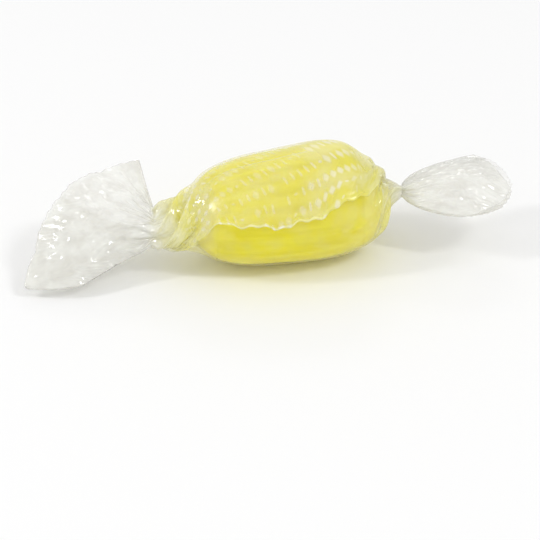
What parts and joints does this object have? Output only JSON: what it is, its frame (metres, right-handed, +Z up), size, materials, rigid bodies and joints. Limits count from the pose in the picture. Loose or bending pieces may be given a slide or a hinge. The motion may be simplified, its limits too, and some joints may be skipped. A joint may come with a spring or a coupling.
{
  "type": "sherbet lemon",
  "caption": "Lemon-yellow boiled sweet with blunt rounded ends, sealed in clear film that is twisted at both ends and fans out into two tails.",
  "frame": {"origin": "middle of the flat spot under the sweet, on the surface that it lies on", "axes": "+X along the sweet from the large left tail to the small right tail, +Y to the back of the picture, +Z up"},
  "size_m": [0.0687, 0.019, 0.0161],
  "materials": {
    "boiled_sweet": "smooth boiled sugar, soft gloss",
    "clear_film": "thin clear film printed in pale ink, crisp highlights"
  },
  "bodies": {
    "root": {"wrapped_sweet": "boiled_sweet"}
  },
  "joints": []
}
